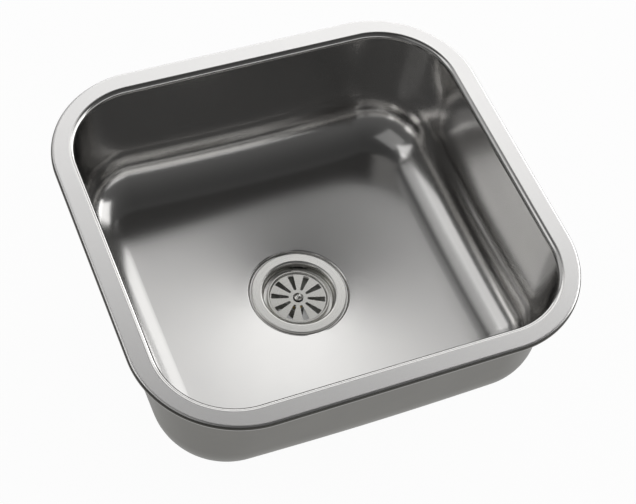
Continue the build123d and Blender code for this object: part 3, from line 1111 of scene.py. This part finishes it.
def make_pad(bitumen):
    """Sound-deadening pad bonded under the floor, drawn as a skin between two falling faces."""
    ring_steps = 12
    around = 160
    vertices = []
    for face in (0, 1):
        for ring in range(ring_steps + 1):
            share = ring / ring_steps
            for step in range(around):
                angle = FULL_TURN * step / around
                inner = Vector((cos(angle), sin(angle))) * PAD_HOLE_RADIUS
                outer = pad_edge(angle)
                spot = inner.lerp(outer, share)
                z = FLOOR_EDGE_Z - FLOOR_SLOPE * (WALL_HALF - spot.length) - SHEET
                vertices.append((spot.x, spot.y, z - face * PAD_THICKNESS))
    faces = []
    layer = (ring_steps + 1) * around
    for step in range(around):
        after = (step + 1) % around
        for ring in range(ring_steps):
            low, high = ring * around, (ring + 1) * around
            faces.append((low + step, high + step, high + after, low + after))
            faces.append(
                (layer + low + step, layer + low + after, layer + high + after, layer + high + step)
            )
        last = ring_steps * around
        faces.append((step, after, layer + after, layer + step))
        faces.append((last + after, last + step, layer + last + step, layer + last + after))
    pad = new_object("bitumen_pad", vertices, faces=faces)
    pad.data.materials.append(bitumen)
    return finished(smooth(pad), "sink", "pad_bitumen", "sound_pad")


# ---- materials and pieces ----------------------------------------------------
satin_steel = satin_stainless()
ring_steel = turned_stainless("turned_stainless_ring", "#E2E1DE", "#D6D5D1", roughness=0.28)
strainer_steel = turned_stainless("pressed_stainless_strainer", "#CDCCC8", "#BFBEBA", roughness=0.26)
screw_steel = turned_stainless("polished_screw_steel", "#E0DFDC", "#D2D1CD", roughness=0.12)
# Injection-moulded nylon: black, with the slight sheen of a small moulding.
black_nylon = plain_finish(
    "moulded_black_nylon", "#1B1B1B", "#101010", roughness=0.45, cell=0.8, bump=(0.1, 0.02)
)
# Moulded EPDM rubber: near black, dull, with a bloom of fine dust.
gasket_rubber = plain_finish(
    "moulded_epdm_rubber", "#242424", "#161616", roughness=0.7, cell=1.2, bump=(0.2, 0.05)
)
# Bitumen damping sheet: black, felted surface with a coarse grain of about 2 mm.
bitumen = plain_finish(
    "bitumen_damping_sheet", "#2B2B2C", "#1A1A1B", roughness=0.85, cell=2.2, bump=(0.5, 0.35)
)
# Polypropylene, injection moulded: off-white and waxy, with soft highlights.
polypropylene = plain_finish(
    "moulded_polypropylene", "#D9D9D5", "#CFCFCA", roughness=0.42, cell=3.0, bump=(0.08, 0.05)
)
# Free-cutting brass: warm yellow metal with a fine grain.
brass = plain_finish(
    "turned_brass", "#D9B65C", "#C7A24B", roughness=0.28, cell=0.4, bump=(0.1, 0.02), metallic=1.0
)

make_bowl(satin_steel)
make_waste_ring(ring_steel)
make_strainer(strainer_steel)
make_washer(black_nylon)
make_screw(screw_steel)
make_gasket("floor_gasket", gasket_rubber, "flange_gasket")
make_gasket("clamp_gasket", gasket_rubber, "body_gasket")
make_pad(bitumen)
make_waste_body(polypropylene)
make_insert(brass)


# ---- camera, floor and light -------------------------------------------------
def make_camera():
    """The photograph's camera: above the front left corner, looking down at the bowl."""
    back = Vector(
        (
            sin(CAMERA_YAW) * cos(CAMERA_PITCH),
            -cos(CAMERA_YAW) * cos(CAMERA_PITCH),
            sin(CAMERA_PITCH),
        )
    )
    level_right = Vector((cos(CAMERA_YAW), sin(CAMERA_YAW), 0.0))
    level_up = back.cross(level_right)
    right = cos(CAMERA_ROLL) * level_right + sin(CAMERA_ROLL) * level_up
    up = back.cross(right)
    lens = bpy.data.cameras.new("camera")
    lens.lens = CAMERA_LENS
    lens.sensor_width = CAMERA_SENSOR
    lens.sensor_fit = "HORIZONTAL"
    camera = bpy.data.objects.new("camera", lens)
    camera.matrix_world = Matrix.Translation(CAMERA_SPOT) @ Matrix(
        (right, up, back)
    ).transposed().to_4x4()
    bpy.context.scene.collection.objects.link(camera)
    bpy.context.scene.camera = camera


def make_floor():
    """A plain white floor under the waste's outlet, which keeps a faint shadow of the bowl.

    Its lower face is clear to the eye, so that the sink can be looked at from below.
    """
    half = STUDIO_HALF
    z = body_low.z - STUDIO_GAP
    corners = [(-half, -half, z), (half, -half, z), (half, half, z), (-half, half, z)]
    floor = new_object("floor", corners, faces=[(0, 1, 2, 3)])
    material, tree, shader = new_material("white_floor")
    shader.inputs["Base Color"].default_value = linear("#F0F0F0")
    shader.inputs["Roughness"].default_value = 0.9
    rays = add_node(tree, "ShaderNodeLightPath").outputs
    mirrored = math(tree, "MAXIMUM", rays["Is Glossy Ray"], rays["Is Transmission Ray"])
    seen = math(tree, "MAXIMUM", rays["Is Camera Ray"], mirrored)
    white = made(tree, "ShaderNodeEmission", [("Color", linear("#FFFFFF")), ("Strength", 1.0)])
    nearby = add_node(tree, "ShaderNodeAmbientOcclusion", [("Distance", SHADOW_REACH * MM)])
    open_share = math(tree, "MULTIPLY", nearby.outputs["AO"], FLOOR_WHITE)
    white_share = math(tree, "MULTIPLY", seen, open_share)
    upper = made(
        tree, "ShaderNodeMixShader", [(0, white_share), (1, shader.outputs[0]), (2, white)]
    )
    below = add_node(tree, "ShaderNodeNewGeometry").outputs["Backfacing"]
    clear = made(tree, "ShaderNodeBsdfTransparent")
    clear_share = math(tree, "MULTIPLY", below, rays["Is Camera Ray"])
    both = made(tree, "ShaderNodeMixShader", [(0, clear_share), (1, upper), (2, clear)])
    tree.links.new(both, tree.nodes["Material Output"].inputs[0])
    floor.data.materials.append(material)


def soft_lamp(name, azimuths, elevations, distance, radiance):
    """A softbox that fills these angles as seen from inside the bowl, with its radiance.

    Azimuths are counted in degrees from +X towards +Y, elevations up from the level.
    """
    azimuth = radians(sum(azimuths) / 2)
    elevation = radians(sum(elevations) / 2)
    way = Vector((cos(azimuth) * cos(elevation), sin(azimuth) * cos(elevation), sin(elevation)))
    lamp = bpy.data.lights.new(name, "AREA")
    lamp.shape = "RECTANGLE"
    lamp.size = 2 * distance * tan(radians(azimuths[1] - azimuths[0]) / 2) * cos(elevation)
    lamp.size_y = 2 * distance * tan(radians(elevations[1] - elevations[0]) / 2)
    lamp.energy = radiance * pi * lamp.size * lamp.size_y
    box = bpy.data.objects.new(name, lamp)
    box.rotation_mode = "QUATERNION"
    box.rotation_quaternion = (-way).to_track_quat("-Z", "Y")
    box.location = LAMP_AIM + distance * way
    box.visible_camera = False
    bpy.context.scene.collection.objects.link(box)
    return box


def make_world():
    """Studio surroundings: pale near the ground, dark overhead."""
    world = bpy.data.worlds.new("studio")
    world.use_nodes = True
    tree = world.node_tree
    way = add_node(tree, "ShaderNodeTexCoord").outputs["Generated"]
    height = split(tree, way)[2]
    ramp = add_node(tree, "ShaderNodeValToRGB", [(0, height)])
    stops = ramp.color_ramp.elements
    while len(stops) < len(WORLD_STOPS):
        stops.new(0.5)
    for stop, (position, level) in zip(stops, WORLD_STOPS):
        stop.position = position
        stop.color = (level, level, level, 1.0)
    tree.links.new(ramp.outputs[0], tree.nodes["Background"].inputs["Color"])
    bpy.context.scene.world = world


make_camera()
make_floor()
make_world()
# Each lamp has its azimuths, its elevations, its distance and its radiance.
soft_lamp("back_softbox_low", (30, 92), (36, 47), 9.0, 1.45)
soft_lamp("back_softbox", (30, 92), (47, 52), 9.0, 1.6)
soft_lamp("back_softbox_high", (30, 92), (52, 55), 9.0, 0.95)
soft_lamp("back_softbox_edge", (30, 92), (55, 58), 9.0, 0.55)
soft_lamp("back_upper_softbox", (45, 92), (58, 64), 9.0, 0.2)
soft_lamp("right_softbox_low", (-15, 35), (5, 25), 3.5, 2.6)
soft_lamp("right_softbox", (-15, 35), (25, 44), 3.5, 1.5)
soft_lamp("back_wall", (35, 95), (18, 36), 3.5, 0.65)
soft_lamp("back_cove", (30, 90), (0, 18), 3.5, 1.75)
soft_lamp("left_softbox", (138, 166), (26, 60), 3.5, 1.0)
soft_lamp("left_wall", (98, 138), (5, 60), 3.5, 0.5)
soft_lamp("left_high_softbox", (166, 226), (40, 76), 3.5, 0.26)
soft_lamp("front_strip", (250, 345), (10, 20), 3.5, 0.95)
# The fill lights what is matt and shows in no reflection.
fill = soft_lamp("overhead_fill", (240, 300), (60, 85), 3.0, 1.6)
fill.visible_glossy = False
bpy.context.scene.view_settings.view_transform = "Standard"
